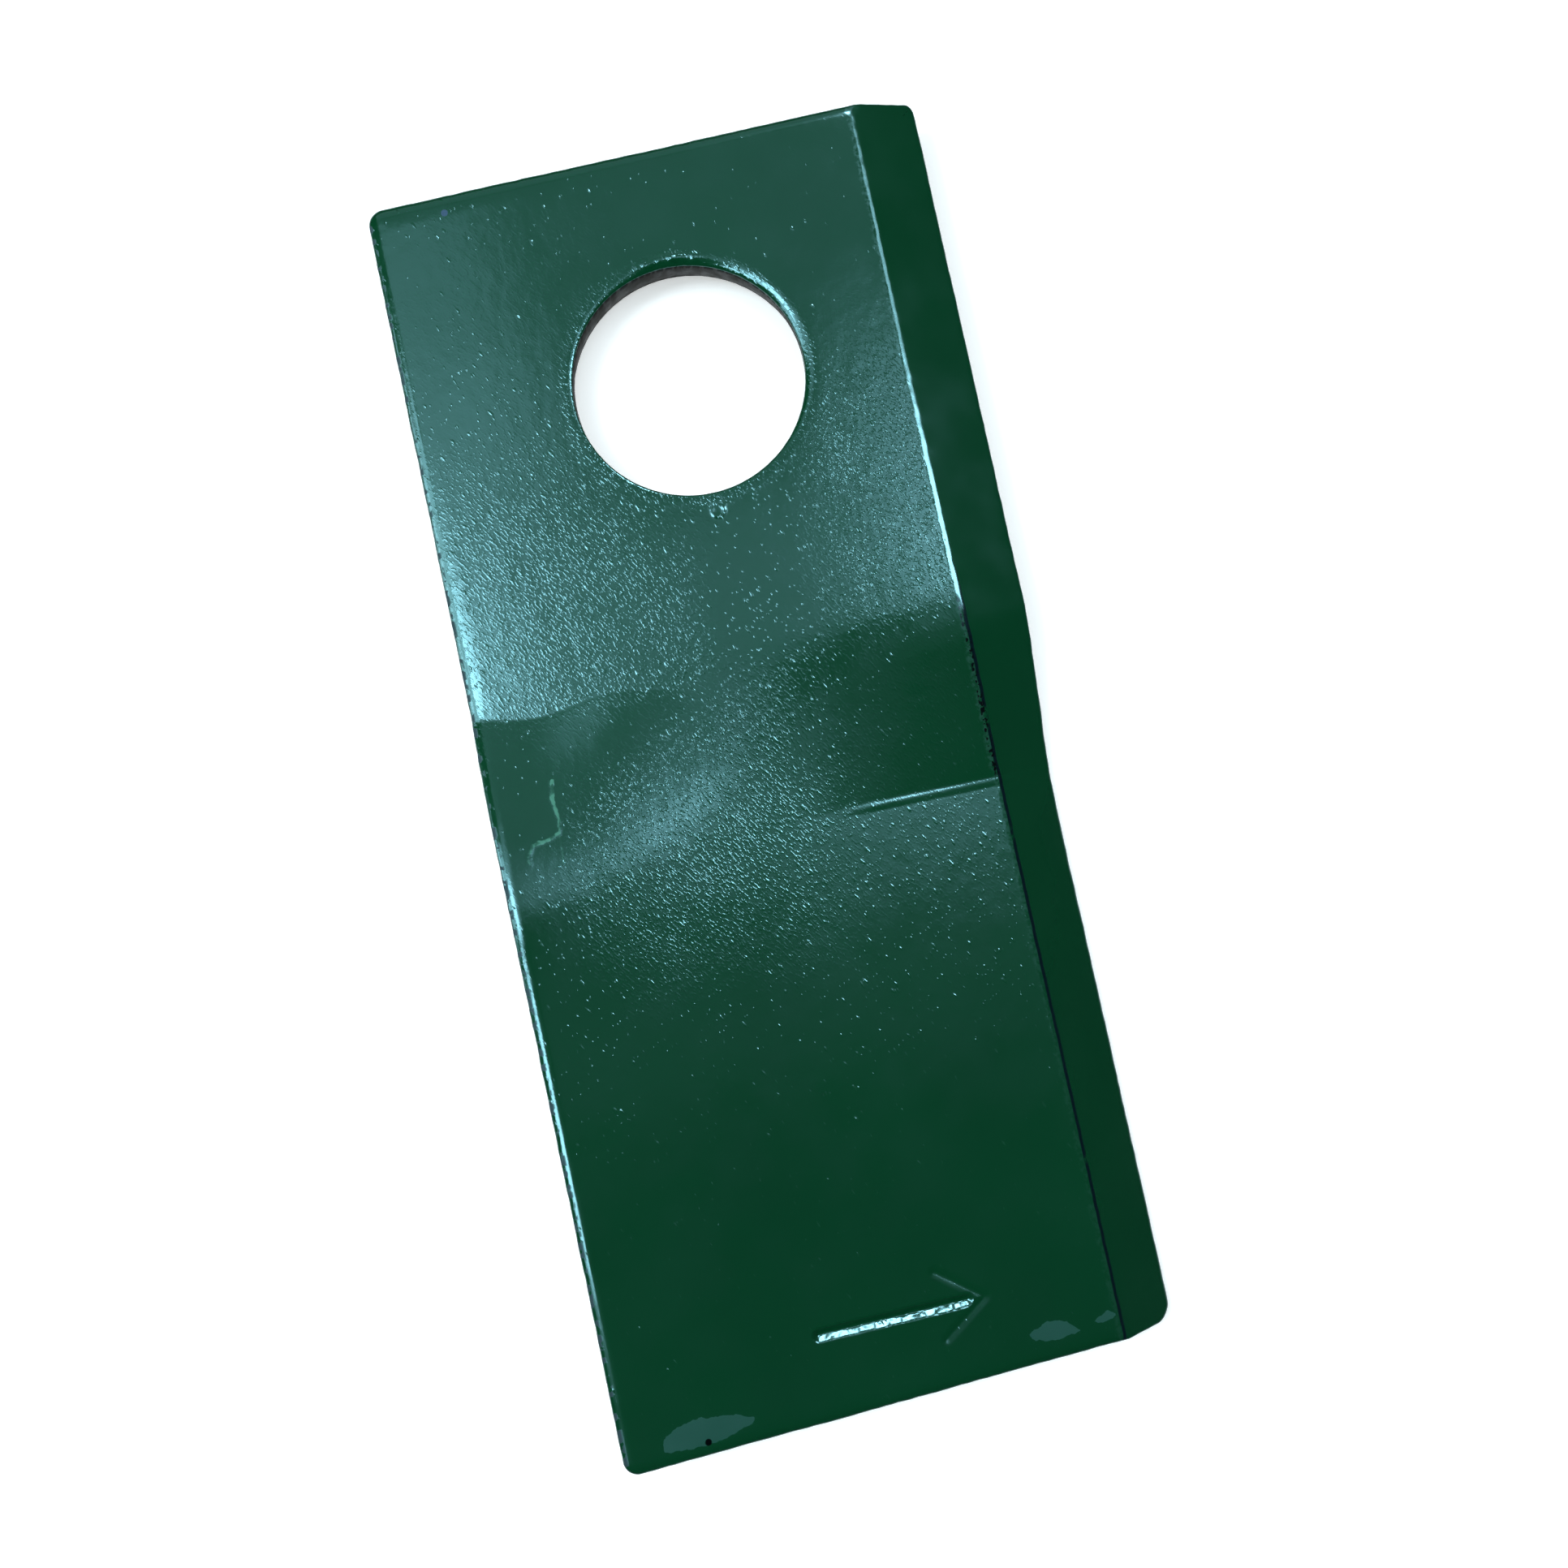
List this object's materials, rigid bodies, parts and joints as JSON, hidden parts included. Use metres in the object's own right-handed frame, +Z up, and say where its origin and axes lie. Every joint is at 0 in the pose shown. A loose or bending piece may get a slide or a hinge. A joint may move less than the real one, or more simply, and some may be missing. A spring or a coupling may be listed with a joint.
{
  "type": "twisted disc mower blade",
  "caption": "Flat steel mowing blade with a round pin hole, a ground cutting bevel along each long edge and a short twist across its middle.",
  "frame": {"origin": "on the floor, under the middle of the blade as it lies face up", "axes": "+Y along the blade towards the pin hole's end, +X across it towards the cutting edge of the face, +Z up"},
  "size_m": [0.0494, 0.11, 0.0077],
  "materials": {
    "paint": "dark green gloss dip paint over steel, with fine dust nibs"
  },
  "bodies": {
    "root": {"blade": "paint"}
  },
  "joints": []
}
